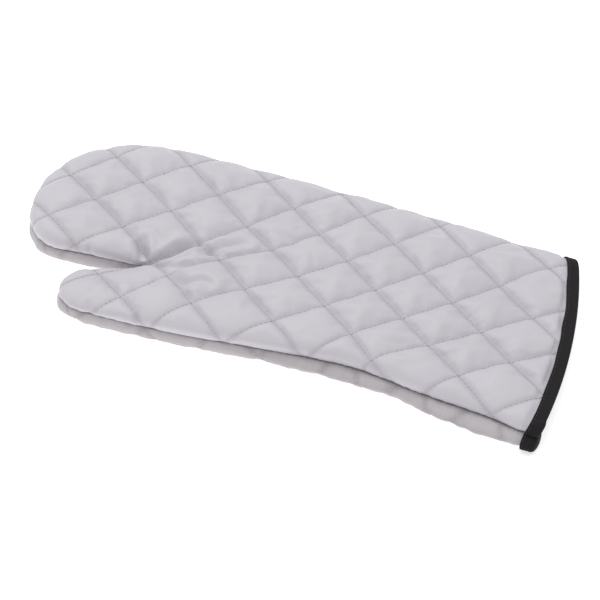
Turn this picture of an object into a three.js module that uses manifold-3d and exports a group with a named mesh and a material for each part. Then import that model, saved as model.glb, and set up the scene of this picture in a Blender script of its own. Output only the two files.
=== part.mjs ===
// A quilted barbecue glove that lies flat on a table: two padded panels sewn together along one
// edge seam, open at the cuff, with a folded tape bound over the cuff's edge.
// Millimetres. X runs from the fingertip to the cuff, Y across the hand with the thumb on the
// minus side, and Z up from the table. The model is centred on its own footprint at the end.
import * as THREE from "three";
import { mergeVertices } from "three/addons/utils/BufferGeometryUtils.js";
import Module from "manifold-3d";

const wasm = await Module();
wasm.setup();

// Plan of the sewn outline
const farLength = 363.5; // fingertip to the cuff's corner on the little finger's side
const nearLength = 411.5; // fingertip to the cuff's corner on the thumb's side
const hemBow = 7.7; // how far the cuff's edge bulges past its own corners' line
const hemLean = 0.45; // how far the upper lip of the cuff reaches past the lower one, per mm of height
const palmWidth = 191; // across the palm and the thumb's root
const wristWidth = 170;
const cuffWidth = 186;
const fingerLength = 110; // fingertip to the crotch
const fingerCapFar = 68; // length of the fingertip's curve on the far side
const fingerCapNear = 42; // and on the thumb's side
const crotchRadius = 3;
const thumbReach = 44; // crotch to the thumb's tip
const thumbRadius = 22;
const thumbGap = 13; // slit between the widest part of the fingers and the thumb
const fingerTaper = 7; // how much narrower the fingers are at their root
const fingerWidth = palmWidth - 2 * thumbRadius - thumbGap;
const fingerRootWidth = fingerWidth - fingerTaper; // far edge to the crotch

// Heights and walls
const seamHeight = 10; // the edge seam above the table
const upperRise = 9.5; // seam up to the upper panel's stitch lines
const lowerRise = 8; // seam down to the lower panel's stitch lines
const crownHeight = 0.5; // extra height in the middle of the palm
const crownReach = 70; // distance from the edge at which the crown is full
const cuffPress = 2; // how much the upper panel is pressed down at the cuff
const cuffPressReach = 120;
const crotchSag = 4; // valley that the crotch pulls into the upper panel
const crotchSagLength = 75;
const crotchSagWidth = 22;
const crotchSagTurn = 37; // its direction, along one of the stitch lines
const stitchedWall = 3; // padded wall where a stitch line pinches it
const puffHeight = 5.5; // how much a quilted square stands above its stitch lines
const sideDepth = 20; // how far in the rounded side reaches
const sideBulge = 1.2; // how far the side stands out past the seam
const cuffFlare = 5; // how much further the lower panel stands out on the thumb's side
const flareFrom = 0.29; // where that flare starts and is full, as shares of nearLength
const flareFull = 0.66;
const flareSide = 40; // distance from the glove's middle line at which the flare is full
const flareFade = 40; // distance from the cuff over which the tape holds the flare in
const flareHeld = 0.4; // share of the flare that is left at the cuff's edge
const liningSide = 17; // how far the hollow's rounded side reaches
const seamGap = 0.3; // clearance between the two panels

// Quilting
const quiltPitch = 36.8; // side of a quilted square
const quiltTurn = 8.2; // degrees from the glove's length to the squares' diagonal
const quiltAlong = 230; // one crossing of the stitch lines
const quiltAcross = 16;

// Cuff binding
const tapeWidth = 8; // depth of each side of the folded tape
const tapeThickness = 1;
const tapeClearance = 0.3;
const flatHem = 10; // unpadded strip of each panel under the tape
const flatHemFade = 12;

// Mesh fineness
const rimSpacing = 9.6; // step along the outline
const skinSteps = 4; // points to each quilted square, across
const foldSteps = 8; // the same beside the crotch
const liningSteps = 2.5;
const foldReach = 36; // radius of the finer patch beside the crotch
const trimSpare = 20; // straight cloth past the cuff, trimmed off
const trimCap = 60; // round end past that, trimmed off
const trimReach = nearLength - farLength + trimSpare + 2 * trimCap; // clears all of that
const trimHeight = 120;

// Colours of the cloth and of the tape
const clothColour = 0xc9c6ce;
const tapeColour = 0x2b282d;

const halfPalm = palmWidth / 2;
const trimEnd = nearLength + trimSpare;

// The far edge from the cuff to the fingers, and the near edge from the thumb to the cuff, as
// shares of the lengths and widths that they follow
const farEdge = [
  { along: trimEnd, across: cuffWidth * 0.47 },
  { along: farLength * 1.007, across: cuffWidth * 0.48 },
  { along: farLength * 0.866, across: wristWidth * 0.532 },
  { along: farLength * 0.654, across: wristWidth * 0.553 },
  { along: farLength * 0.373, across: palmWidth * 0.503 },
  { along: fingerCapFar, across: palmWidth * 0.5 },
];
const nearEdge = [
  { along: fingerLength - thumbReach + thumbRadius, across: palmWidth * -0.5 },
  { along: nearLength * 0.316, across: palmWidth * -0.494 },
  { along: nearLength * 0.424, across: palmWidth * -0.471 },
  { along: nearLength * 0.503, across: wristWidth * -0.498 },
  { along: nearLength * 0.592, across: wristWidth * -0.468 },
  { along: nearLength * 0.681, across: wristWidth * -0.453 },
  { along: nearLength * 0.789, across: cuffWidth * -0.449 },
  { along: nearLength * 0.888, across: cuffWidth * -0.468 },
  { along: nearLength * 0.987, across: cuffWidth * -0.505 },
  { along: trimEnd, across: cuffWidth * -0.515 },
];

// Section of each padded side, from the seam to the stitch lines' level: inward as a share of its
// depth, rise as a share of its height, outward in bulges, and the share of the quilting's puff.
// The lower one is squarer, because the table presses it flat.
const upperSection = [
  { inward: 0, rise: 0, bulge: 0, puff: 0 },
  { inward: 0, rise: 0.26, bulge: 1, puff: 0.1 },
  { inward: 0.03, rise: 0.53, bulge: 0.85, puff: 0.15 },
  { inward: 0.14, rise: 0.77, bulge: 0.2, puff: 0.3 },
  { inward: 0.42, rise: 0.94, bulge: 0, puff: 0.6 },
  { inward: 1, rise: 1, bulge: 0, puff: 1 },
];
const lowerSection = [
  { inward: 0, rise: 0, bulge: 0, puff: 0 },
  { inward: 0, rise: 0.25, bulge: 1.3, puff: 0.1 },
  { inward: 0, rise: 0.6, bulge: 1.6, puff: 0.15 },
  { inward: 0.02, rise: 0.87, bulge: 0.9, puff: 0.2 },
  { inward: 0.15, rise: 0.98, bulge: 0.1, puff: 0.4 },
  { inward: 1, rise: 1, bulge: 0, puff: 1 },
];
const liningSection = [
  { inward: 0, rise: 0, bulge: 0, puff: 0 },
  { inward: 0.12, rise: 0.55, bulge: 0, puff: 0 },
  { inward: 0.5, rise: 0.88, bulge: 0, puff: 0 },
  { inward: 1, rise: 1, bulge: 0, puff: 0 },
];

// Creases that flatten the puffs of the upper panel. Start and length are shares of the
// fingers' length measured from the crotch, width of the quilt's pitch, depth of the puff.
const creases = [
  { along: 0.05, across: 0.01, heading: 4, length: 0.36, width: 0.13, depth: 0.75 },
  { along: 0.34, across: -0.12, heading: -24, length: 0.24, width: 0.12, depth: 0.6 },
  { along: -0.14, across: 0.1, heading: -70, length: 0.15, width: 0.11, depth: 0.7 },
  { along: -0.15, across: -0.5, heading: -78, length: 0.16, width: 0.1, depth: 0.6 },
  { along: -0.17, across: 0.62, heading: -33, length: 0.13, width: 0.2, depth: 0.35 },
  { along: 0.6, across: 0.53, heading: -17, length: 0.12, width: 0.2, depth: 0.35 },
];

const radians = THREE.MathUtils.degToRad;
const smooth = (t) => THREE.MathUtils.smoothstep(t, 0, 1); // held at 0 and 1 outside
const point = (x, y) => new THREE.Vector2(x, y);
const heading = (angle) => point(Math.cos(angle), Math.sin(angle));
const leftOf = (direction) => point(-direction.y, direction.x);

// The cuff's edge, as a distance from the fingertip at each place across the hand
function hemAt(across) {
  const share = (cuffWidth * 0.48 - across) / cuffWidth;
  return farLength + (nearLength - farLength) * share + 4 * hemBow * share * (1 - share);
}

// Points along an arc of an ellipse, from one angle to another, the last one left out
function arcPoints(centre, radiusX, radiusY, from, to, step) {
  const size = (Math.abs(to - from) * (radiusX + radiusY)) / 2;
  const count = Math.max(3, Math.round(size / step));
  return Array.from({ length: count }, (_, k) => {
    const angle = from + ((to - from) * k) / count;
    return point(centre.x + radiusX * Math.cos(angle), centre.y + radiusY * Math.sin(angle));
  });
}

function linePoints(from, to) {
  const count = Math.max(1, Math.round(from.distanceTo(to) / rimSpacing));
  return Array.from({ length: count }, (_, k) => from.clone().lerp(to, k / count));
}

function edgePoints(rows) {
  const curve = new THREE.SplineCurve(rows.map((row) => point(row.along, row.across)));
  return curve.getSpacedPoints(Math.round(curve.getLength() / rimSpacing)).slice(0, -1);
}

// The seam's outline, counterclockwise from the far side round fingers, crotch and thumb.
// Past the cuff it closes in a round end, which is trimmed off.
function sewnOutline() {
  const fingerAxis = halfPalm - fingerWidth / 2;
  const crotch = point(fingerLength - crotchRadius, halfPalm - fingerRootWidth - crotchRadius);
  const thumb = point(fingerLength - thumbReach + thumbRadius, thumbRadius - halfPalm);
  const capEnd = point(fingerCapNear, fingerAxis - fingerWidth / 2);
  // Directions of the two lines that touch the crotch's small circle
  const toCrotch = crotch.clone().sub(capEnd);
  const inwards = toCrotch.angle() + Math.asin(crotchRadius / toCrotch.length());
  const toThumb = thumb.clone().sub(crotch);
  const touch = Math.asin((crotchRadius + thumbRadius) / toThumb.length());
  const outwards = toThumb.angle() - touch - 2 * Math.PI;
  const crotchIn = leftOf(heading(inwards)).multiplyScalar(crotchRadius).add(crotch);
  const crotchOut = leftOf(heading(outwards)).multiplyScalar(crotchRadius).add(crotch);
  const thumbIn = leftOf(heading(outwards)).multiplyScalar(-thumbRadius).add(thumb);
  const quarter = Math.PI / 2;
  const fineStep = (rimSpacing * crotchRadius) / (crotchRadius + sideDepth) / 2;
  const nearEnd = nearEdge[nearEdge.length - 1].across;
  const farEnd = farEdge[0].across;
  const trimCentre = point(trimEnd, (nearEnd + farEnd) / 2);
  return [
    ...edgePoints(farEdge),
    ...arcPoints(point(fingerCapFar, fingerAxis), fingerCapFar, fingerWidth / 2,
      quarter, 2 * quarter, rimSpacing),
    ...arcPoints(point(fingerCapNear, fingerAxis), fingerCapNear, fingerWidth / 2,
      2 * quarter, 3 * quarter, rimSpacing),
    ...linePoints(capEnd, crotchIn),
    ...arcPoints(crotch, crotchRadius, crotchRadius, inwards + quarter, outwards + quarter, fineStep),
    ...linePoints(crotchOut, thumbIn),
    ...arcPoints(thumb, thumbRadius, thumbRadius, outwards + 3 * quarter, 3 * quarter, rimSpacing),
    ...edgePoints(nearEdge),
    ...arcPoints(trimCentre, trimCap, (farEnd - nearEnd) / 2, -quarter, quarter, rimSpacing),
  ];
}

const outline = sewnOutline();
const outlineNormals = outline.map((_, k) => {
  const before = outline[(k + outline.length - 1) % outline.length];
  const after = outline[(k + 1) % outline.length];
  return leftOf(after.clone().sub(before).normalize());
});
const crotchPlace = point(fingerLength, halfPalm - fingerRootWidth - crotchRadius);

function distanceToLoop(loop, place) {
  let nearest = Infinity;
  const from = point(0, 0);
  const side = point(0, 0);
  loop.forEach((start, k) => {
    const end = loop[(k + 1) % loop.length];
    side.subVectors(end, start);
    from.subVectors(place, start);
    const share = THREE.MathUtils.clamp(from.dot(side) / side.lengthSq(), 0, 1);
    nearest = Math.min(nearest, from.addScaledVector(side, -share).length());
  });
  return nearest;
}

function insideLoop(loop, place) {
  let inside = false;
  loop.forEach((a, k) => {
    const b = loop[(k + 1) % loop.length];
    const spans = a.y > place.y !== b.y > place.y;
    if (spans && place.x < a.x + ((place.y - a.y) * (b.x - a.x)) / (b.y - a.y)) {
      inside = !inside;
    }
  });
  return inside;
}

// Delaunay triangles over a set of plan points, each as three indices, counterclockwise.
// A tiny fixed offset of each point settles the ties between points on one circle.
function triangulate(places) {
  const huge = 1e5;
  const nudge = 2e-3;
  const corners = places.map((p, k) => [
    p.x + nudge * Math.sin(k * 12.9898),
    p.y + nudge * Math.sin(k * 78.233),
  ]);
  corners.push([-huge, -huge], [huge, -huge], [0, huge]);
  const withCircle = (a, b, c) => {
    const [ax, ay] = corners[a];
    const bx = corners[b][0] - ax;
    const by = corners[b][1] - ay;
    const cx = corners[c][0] - ax;
    const cy = corners[c][1] - ay;
    const twice = 2 * (bx * cy - by * cx);
    const x = (cy * (bx * bx + by * by) - by * (cx * cx + cy * cy)) / twice;
    const y = (bx * (cx * cx + cy * cy) - cx * (bx * bx + by * by)) / twice;
    return { abc: [a, b, c], x: ax + x, y: ay + y, reach: x * x + y * y };
  };
  const count = places.length;
  let triangles = [withCircle(count, count + 1, count + 2)];
  for (let k = 0; k < count; k += 1) {
    const [px, py] = corners[k];
    const holds = (t) => (t.x - px) ** 2 + (t.y - py) ** 2 < t.reach;
    const edges = new Map();
    triangles.filter(holds).forEach(({ abc: [a, b, c] }) => {
      [[a, b], [b, c], [c, a]].forEach(([from, to]) => {
        if (!edges.delete(`${to},${from}`)) {
          edges.set(`${from},${to}`, [from, to]);
        }
      });
    });
    triangles = triangles.filter((t) => !holds(t));
    edges.forEach(([from, to]) => triangles.push(withCircle(from, to, k)));
  }
  return triangles.map((t) => t.abc).filter((abc) => Math.max(...abc) < count);
}

// Place on the quilted cloth, in squares from one crossing; stitch lines are the whole numbers
function clothPlace(place, turn) {
  const from = point(place.x - quiltAlong, place.y - quiltAcross);
  const first = from.dot(heading(radians(turn + 45))) / quiltPitch;
  const second = from.dot(heading(radians(turn - 45))) / quiltPitch;
  return [first, second];
}

function puffAt(place, turn) {
  const lobe = (t) => 1 - (2 * (t - Math.floor(t)) - 1) ** 4;
  const [first, second] = clothPlace(place, turn);
  const underTape = hemAt(place.y) - place.x - flatHem;
  return puffHeight * lobe(first) * lobe(second) * smooth(underTape / flatHemFade);
}

// What the creases leave of the puff, as a share
function creaseAt(place) {
  let left = 1;
  creases.forEach((row) => {
    const start = point(row.along, row.across).multiplyScalar(fingerLength).add(crotchPlace);
    const direction = heading(radians(row.heading));
    const from = place.clone().sub(start);
    const share = from.dot(direction) / (row.length * fingerLength);
    const aside = from.dot(leftOf(direction)) / (row.width * quiltPitch);
    const taper = share > 0 && share < 1 ? Math.sin(Math.PI * share) ** 0.5 : 0;
    left -= row.depth * taper * Math.exp(-aside * aside);
  });
  return Math.max(0, left);
}

// Height of the upper panel's stitch lines above its rounded sides
function upperLevel(place) {
  const crown = crownHeight * smooth(distanceToLoop(outline, place) / crownReach);
  const pressed = cuffPress * smooth(1 - (hemAt(place.y) - place.x) / cuffPressReach);
  const valley = heading(radians(crotchSagTurn));
  const from = place.clone().sub(crotchPlace);
  const onward = from.dot(valley) / crotchSagLength;
  const aside = from.dot(leftOf(valley)) / crotchSagWidth;
  const sag = crotchSag * Math.exp(-onward * onward - aside * aside);
  return crown - pressed - sag;
}

// How much further the lower panel's side stands out, growing towards the cuff
function lowerFlare(place) {
  const grown = (place.x / nearLength - flareFrom) / (flareFull - flareFrom);
  const free = smooth((hemAt(place.y) - place.x) / flareFade);
  const near = smooth(-place.y / flareSide);
  return cuffFlare * smooth(grown) * near * THREE.MathUtils.lerp(flareHeld, 1, free);
}

// Plan points of a panel's middle: the quilt's own grid, inside the innermost ring
function middlePoints(ring, turn, steps, patchSteps) {
  const clear = rimSpacing * 0.55;
  const reach = Math.ceil(nearLength / quiltPitch) + 2;
  const diagonals = [heading(radians(turn + 45)), heading(radians(turn - 45))];
  const added = [];
  const addGrid = (perSquare, wanted) => {
    const count = Math.round(2 * reach * perSquare);
    for (let i = 0; i <= count; i += 1) {
      for (let j = 0; j <= count; j += 1) {
        const place = point(quiltAlong, quiltAcross)
          .addScaledVector(diagonals[0], (i / perSquare - reach) * quiltPitch)
          .addScaledVector(diagonals[1], (j / perSquare - reach) * quiltPitch);
        const fits = wanted(place) && insideLoop(ring, place);
        if (fits && distanceToLoop(ring, place) > clear) {
          added.push(place);
        }
      }
    }
  };
  const inPatch = (place) => place.distanceTo(crotchPlace) < foldReach;
  addGrid(steps, (place) => patchSteps === steps || !inPatch(place));
  if (patchSteps !== steps) {
    addGrid(patchSteps, inPatch);
  }
  return added;
}

// Points and triangles of one face of a panel, seen from above: rings that follow the outline,
// then the middle. The sign is 1 for the upper panel and -1 for the lower one.
function makeFace(face) {
  const { section, start, depth, rise, sign, level, flare, turn, steps, patchSteps, crease } = face;
  const innerRing = outline.map((p, k) => p.clone().addScaledVector(outlineNormals[k], start + depth));
  const middle = middlePoints(innerRing, turn, steps, patchSteps);
  const plan = [...innerRing, ...middle];
  const inner = triangulate(plan).filter(([a, b, c]) => {
    const centroid = plan[a].clone().add(plan[b]).add(plan[c]).divideScalar(3);
    return insideLoop(innerRing, centroid);
  });
  const puffed = section.some((row) => row.puff > 0);
  const puffOf = (place) => (puffed ? puffAt(place, turn) * (crease ? creaseAt(place) : 1) : 0);
  // Length of cloth from each row of the section to the innermost one
  const rows = section.map((row) => point(row.inward * depth - row.bulge * sideBulge, row.rise * rise));
  const runs = rows.map((_, r) => rows.slice(r, -1).reduce((sum, row, n) => {
    return sum + row.distanceTo(rows[r + n + 1]);
  }, 0));

  // Rings and middle with the whole face grown outwards by a distance, for the tape's clearance
  return (seamAt, grow) => {
    const rings = section.map((row, r) => outline.map((_, k) => {
      const normal = outlineNormals[k];
      const shoulder = innerRing[k];
      const before = rows[Math.max(r - 1, 0)];
      const after = rows[Math.min(r + 1, rows.length - 1)];
      const along = after.clone().sub(before).normalize();
      const isSeam = r === 0;
      const isShoulder = r === rows.length - 1;
      const outward = isSeam ? point(-1, 0) : isShoulder ? point(0, 1) : leftOf(along);
      const cloth = shoulder.clone().addScaledVector(normal, -runs[r]);
      const swell = row.puff * puffOf(cloth) + grow;
      const inset = start + rows[r].x + outward.x * swell - row.bulge * flare(outline[k]);
      const lift = rows[r].y + outward.y * swell + row.rise * level(shoulder);
      const plate = outline[k].clone().addScaledVector(normal, inset);
      return new THREE.Vector3(plate.x, plate.y, Math.max(0, seamAt + sign * lift));
    }));
    const middleTop = middle.map((place) => {
      const lift = rise + level(place) + puffOf(place) + grow;
      return new THREE.Vector3(place.x, place.y, Math.max(0, seamAt + sign * lift));
    });
    const last = [...rings[rings.length - 1], ...middleTop];
    const triangles = inner.map((abc) => abc.map((index) => last[index]));
    rings.slice(0, -1).forEach((ring, r) => triangles.push(...ringStrip(ring, rings[r + 1])));
    return { rim: rings[0], triangles };
  };
}

// Triangles between an outer ring and the next one in, seen from above
function ringStrip(outer, inner) {
  return outer.flatMap((corner, k) => {
    const next = (k + 1) % outer.length;
    return [
      [corner, outer[next], inner[next]],
      [corner, inner[next], inner[k]],
    ];
  });
}

const turned = (triangles) => triangles.map(([a, b, c]) => [a, c, b]);

function geometryOf(triangles) {
  const values = triangles.flat().flatMap((corner) => [corner.x, corner.y, corner.z]);
  const geometry = new THREE.BufferGeometry();
  geometry.setAttribute("position", new THREE.Float32BufferAttribute(values, 3));
  return mergeVertices(geometry, 1e-4);
}

function solidOf(geometry) {
  const plain = geometry.clone();
  plain.deleteAttribute("normal");
  plain.deleteAttribute("uv");
  const merged = mergeVertices(plain, 1e-4);
  return new wasm.Manifold(new wasm.Mesh({
    numProp: 3,
    vertProperties: Float32Array.from(merged.attributes.position.array),
    triVerts: Uint32Array.from(merged.index.array),
  }));
}

function geometryFrom(solid) {
  const { vertProperties, triVerts } = solid.getMesh();
  const geometry = new THREE.BufferGeometry();
  geometry.setAttribute("position", new THREE.Float32BufferAttribute(vertProperties, 3));
  geometry.setIndex(new THREE.Uint32BufferAttribute(triVerts, 1));
  geometry.computeVertexNormals();
  return geometry;
}

// Upright block over the strip between two distances inside the cuff's edge
function hemBand(nearest, deepest) {
  const count = 32;
  const across = Array.from({ length: count + 1 }, (_, k) => (k / count - 0.5) * 2 * cuffWidth);
  const outer = across.map((y) => point(hemAt(y) - nearest, y));
  const inner = across.map((y) => point(hemAt(y) - deepest, y)).reverse();
  const shape = new THREE.Shape([...outer, ...inner]);
  const geometry = new THREE.ExtrudeGeometry(shape, { depth: trimHeight, bevelEnabled: false });
  geometry.translate(0, 0, -trimHeight / 2);
  const lean = new THREE.Matrix4().makeShear(0, 0, 0, 0, hemLean, 0);
  geometry.applyMatrix4(lean.setPosition(-hemLean * seamHeight, 0, 0));
  return solidOf(geometry);
}

const noLevel = () => 0;
const noFlare = () => 0;
const lowerTurn = -quiltTurn; // the lower panel is the same cloth turned over
const skinRows = { start: 0, depth: sideDepth, steps: skinSteps };
const liningRows = { section: liningSection, start: stitchedWall, depth: liningSide, steps: liningSteps };
const upperSkin = makeFace({
  ...skinRows, section: upperSection, rise: upperRise, sign: 1, level: upperLevel, flare: noFlare,
  turn: quiltTurn, patchSteps: foldSteps, crease: true,
});
const upperLining = makeFace({
  ...liningRows, rise: upperRise - stitchedWall, sign: 1, level: upperLevel, flare: noFlare,
  turn: quiltTurn, patchSteps: liningSteps,
});
const lowerSkin = makeFace({
  ...skinRows, section: lowerSection, rise: lowerRise, sign: -1, level: noLevel, flare: lowerFlare,
  turn: lowerTurn, patchSteps: skinSteps, crease: false,
});
const lowerLining = makeFace({
  ...liningRows, rise: lowerRise - stitchedWall, sign: -1, level: noLevel, flare: noFlare,
  turn: lowerTurn, patchSteps: liningSteps,
});

// A panel is its skin and its lining, joined by a flat strip at the seam
function panelSolid(skin, lining, sign) {
  const seamAt = seamHeight + (sign * seamGap) / 2;
  const outside = skin(seamAt, 0);
  const inside = lining(seamAt, 0);
  const strip = ringStrip(outside.rim, inside.rim);
  const triangles = sign > 0
    ? [...outside.triangles, ...turned(inside.triangles), ...turned(strip)]
    : [...turned(outside.triangles), ...inside.triangles, ...strip];
  return solidOf(geometryOf(triangles)).subtract(hemBand(-trimReach, 0));
}

// Everything inside the two skins, or inside the two linings, grown by a distance
function hull(over, under, grow) {
  const above = over(seamHeight, grow);
  const below = under(seamHeight, grow);
  return solidOf(geometryOf([...above.triangles, ...turned(below.triangles)]));
}

// The tape wraps both panels' cut edges, inside and outside, all the way round the mouth
function bindingSolid() {
  const folded = tapeClearance + tapeThickness;
  const outside = hull(upperSkin, lowerSkin, folded).intersect(hemBand(-folded, tapeWidth));
  const clothOutside = hull(upperSkin, lowerSkin, tapeClearance);
  const clothInside = hull(upperLining, lowerLining, -tapeClearance);
  const cloth = clothOutside.subtract(clothInside).intersect(hemBand(-tapeClearance, nearLength));
  return outside.subtract(cloth).subtract(hull(upperLining, lowerLining, -folded));
}

function makeMesh(name, solid, colour, roughness) {
  const material = new THREE.MeshStandardMaterial({ color: colour, roughness, metalness: 0 });
  const mesh = new THREE.Mesh(geometryFrom(solid), material);
  mesh.name = name;
  return mesh;
}

const glove = new THREE.Group();
glove.add(
  makeMesh("upper_panel", panelSolid(upperSkin, upperLining, 1), clothColour, 0.55),
  makeMesh("lower_panel", panelSolid(lowerSkin, lowerLining, -1), clothColour, 0.55),
  makeMesh("cuff_binding", bindingSolid(), tapeColour, 0.8),
);

// Origin in the middle of the footprint, on the table
const bounds = new THREE.Box3().setFromObject(glove);
const middle = bounds.getCenter(new THREE.Vector3());
glove.position.set(-middle.x, -middle.y, -bounds.min.z);

export default glove;
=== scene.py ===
# %% [markdown]
# # A quilted barbecue glove
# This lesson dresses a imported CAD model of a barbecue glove. The glove is two quilted panels sewn
# edge to edge, with a black tape bound round the open cuff. The CAD model fixes every size, and
# Blender adds what cloth does: puffed squares, sunk stitches, folds, weave and sheen.

# %% Load the frame
import math

import bmesh
import bpy
import numpy as np
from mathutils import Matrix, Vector, bvhtree, geometry, kdtree, noise


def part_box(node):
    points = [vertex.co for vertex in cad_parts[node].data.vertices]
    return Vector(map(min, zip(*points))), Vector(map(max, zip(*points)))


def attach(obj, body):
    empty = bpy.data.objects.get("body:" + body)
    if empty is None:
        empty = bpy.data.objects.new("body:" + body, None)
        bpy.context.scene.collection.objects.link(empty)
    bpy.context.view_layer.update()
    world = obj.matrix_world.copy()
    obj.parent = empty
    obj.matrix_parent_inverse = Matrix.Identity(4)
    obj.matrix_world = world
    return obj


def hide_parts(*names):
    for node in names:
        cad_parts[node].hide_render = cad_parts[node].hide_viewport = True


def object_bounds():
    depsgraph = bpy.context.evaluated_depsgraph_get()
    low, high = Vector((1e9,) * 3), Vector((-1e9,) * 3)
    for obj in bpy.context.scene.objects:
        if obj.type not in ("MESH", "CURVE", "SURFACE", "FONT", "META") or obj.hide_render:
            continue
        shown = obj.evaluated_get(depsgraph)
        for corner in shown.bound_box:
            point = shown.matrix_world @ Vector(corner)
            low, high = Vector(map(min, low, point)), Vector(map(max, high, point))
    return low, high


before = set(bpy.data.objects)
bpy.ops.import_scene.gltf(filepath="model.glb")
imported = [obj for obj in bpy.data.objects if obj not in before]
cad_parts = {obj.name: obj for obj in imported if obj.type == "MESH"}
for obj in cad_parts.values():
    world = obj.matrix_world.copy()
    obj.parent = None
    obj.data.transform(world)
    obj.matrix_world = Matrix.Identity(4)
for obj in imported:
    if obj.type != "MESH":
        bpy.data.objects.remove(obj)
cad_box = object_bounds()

print("CAD box in millimetres:", [[round(1000 * c, 1) for c in corner] for corner in cad_box])

# %% [markdown]
# ## Camera
# The photo was taken from far off with a long lens, so the squares of the quilting hardly shrink
# with distance. A 216 mm lens from 2.4 m away gives the same flat look.

# %% Camera
camera_eye = Vector((0.8259, -1.7765, 1.3900))
camera_target = Vector((0.0025, -0.0096, 0.0))
camera_turn = (camera_target - camera_eye).to_track_quat("-Z", "Y").to_euler()
bpy.ops.object.select_all(action="DESELECT")
bpy.ops.object.camera_add(location=camera_eye, rotation=camera_turn)
camera = bpy.context.object
camera.name = "photo_camera"
camera.data.lens = 216
camera.data.sensor_width = 36
bpy.context.scene.camera = camera
print("camera is", round((camera_target - camera_eye).length, 3), "m from the glove")

# %% [markdown]
# ## Floor and light
# The glove lies on a white sheet that fades into a white background. A wide plane with a little
# glow of its own keeps the contact shadow as faint as it is in the photo. Two large soft lamps,
# one high above and one at the far left, give the shading, and the white world fills the rest.

# %% Floor
floor_width = 8.0
floor_gap = 0.0002
bpy.ops.object.select_all(action="DESELECT")
bpy.ops.mesh.primitive_plane_add(size=floor_width, location=(0, 0, -floor_gap))
floor = bpy.context.object
floor.name = "white_table"
bpy.ops.object.transform_apply(location=True, rotation=True, scale=True)
floor_paint = bpy.data.materials.new("white_table")
floor_paint.use_nodes = True
floor_shader = floor_paint.node_tree.nodes["Principled BSDF"]
floor_shader.inputs["Base Color"].default_value = (0.9, 0.9, 0.9, 1)
floor_shader.inputs["Roughness"].default_value = 0.8
floor_shader.inputs["Emission Color"].default_value = (1, 1, 1, 1)
floor_shader.inputs["Emission Strength"].default_value = 0.62
floor.data.materials.append(floor_paint)

# %% Lamps
def add_softbox(name, place, target, width, power):
    """A square area lamp that points at a target."""
    turn = (Vector(target) - Vector(place)).to_track_quat("-Z", "Y").to_euler()
    bpy.ops.object.light_add(type="AREA", location=place, rotation=turn)
    lamp = bpy.context.object
    lamp.name = name
    lamp.data.shape = "SQUARE"
    lamp.data.size = width
    lamp.data.energy = power
    return lamp


add_softbox("key_softbox", (-1.3, 1.1, 2.1), (0, 0, 0), 1.4, 20)
add_softbox("top_softbox", (0.3, 0.2, 2.7), (0, 0, 0), 2.0, 15)
world = bpy.data.worlds.new("studio")
world.use_nodes = True
world.node_tree.nodes["Background"].inputs["Color"].default_value = (1, 1, 1, 1)
world.node_tree.nodes["Background"].inputs["Strength"].default_value = 0.6
bpy.context.scene.world = world
bpy.context.scene.view_settings.view_transform = "Standard"

# %% [markdown]
# ## The sewn outline
# Both panels are cut to one outline and sewn along it. The CAD panel keeps that outline as the
# outer edge of its flat seam strip, so it is read from there and smoothed, and both visible
# panels are then cut to it.

# %% Smooth curves
def smooth_curve(points, spacing):
    """Points close together on a smooth curve through the given ones."""
    steps = np.linalg.norm(np.diff(points, axis=0), axis=1)[:, None]
    slopes = np.diff(points, axis=0) / steps
    inner = (slopes[:-1] * steps[1:] + slopes[1:] * steps[:-1]) / (steps[1:] + steps[:-1])
    tangents = np.vstack([slopes[:1], inner, slopes[-1:]])
    curve = []
    for k, step in enumerate(steps[:, 0]):
        count = max(1, math.ceil(step / spacing))
        t = (np.arange(count) / count)[:, None]
        curve.append(
            points[k] * (1 + 2 * t) * (1 - t) ** 2 + points[k + 1] * t ** 2 * (3 - 2 * t)
            + step * (tangents[k] * t * (1 - t) ** 2 - tangents[k + 1] * t ** 2 * (1 - t))
        )
    return np.vstack(curve + [points[-1:]])


def arc_length(points):
    """Distance along a line of points, from its first one."""
    return np.concatenate([[0], np.cumsum(np.linalg.norm(np.diff(points, axis=0), axis=1))])


# %% Read the outline from the upper panel
seam_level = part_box("upper_panel")[0].z
upper_copy = bmesh.new()
upper_copy.from_mesh(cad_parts["upper_panel"].data)
bmesh.ops.remove_doubles(upper_copy, verts=upper_copy.verts, dist=1e-6)
upper_copy.verts.index_update()  # a fixed order, so that each run gives the same glove
strip = {f for f in upper_copy.faces if max(v.co.z for v in f.verts) < seam_level + 1e-5}
neighbours = {}
for edge in upper_copy.edges:
    if sum(f in strip for f in edge.link_faces) == 1:
        first, second = edge.verts
        neighbours.setdefault(first, []).append(second)
        neighbours.setdefault(second, []).append(first)
fingertip = min(neighbours, key=lambda v: v.co.x)
corner_turn = math.radians(50)


def walk(start, onward):
    """Seam corners from the fingertip, up to the sharp corner at the cuff."""
    path = [start, onward]
    while True:
        before, here = path[-2:]
        ahead = [v for v in neighbours[here] if v is not before][0]
        if (here.co - before.co).angle(ahead.co - here.co) > corner_turn:
            return [tuple(v.co.xy) for v in path]
        path.append(ahead)


sides = sorted(neighbours[fingertip], key=lambda v: -v.co.y)
far_side, near_side = walk(fingertip, sides[0]), walk(fingertip, sides[1])
seam_corners = np.array(far_side[:0:-1] + near_side)

hem_lean = 0.45
hem_corners = {
    v.index: v for f in upper_copy.faces
    if f.normal.x > 0.7 and abs(f.normal.z + hem_lean * f.normal.x) < 0.05
    for v in f.verts if v.co.x > 0.6 * cad_box[1][0]
}.values()
level_x = [v.co.x - hem_lean * (v.co.z - seam_level) for v in hem_corners]
hem_curve = np.polyfit([v.co.y for v in hem_corners], level_x, 2)
upper_copy.free()


def hem_x(across):
    """How far along the glove the cuff's edge is at the seam's height, at each place across it."""
    return np.polyval(hem_curve, across)


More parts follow.
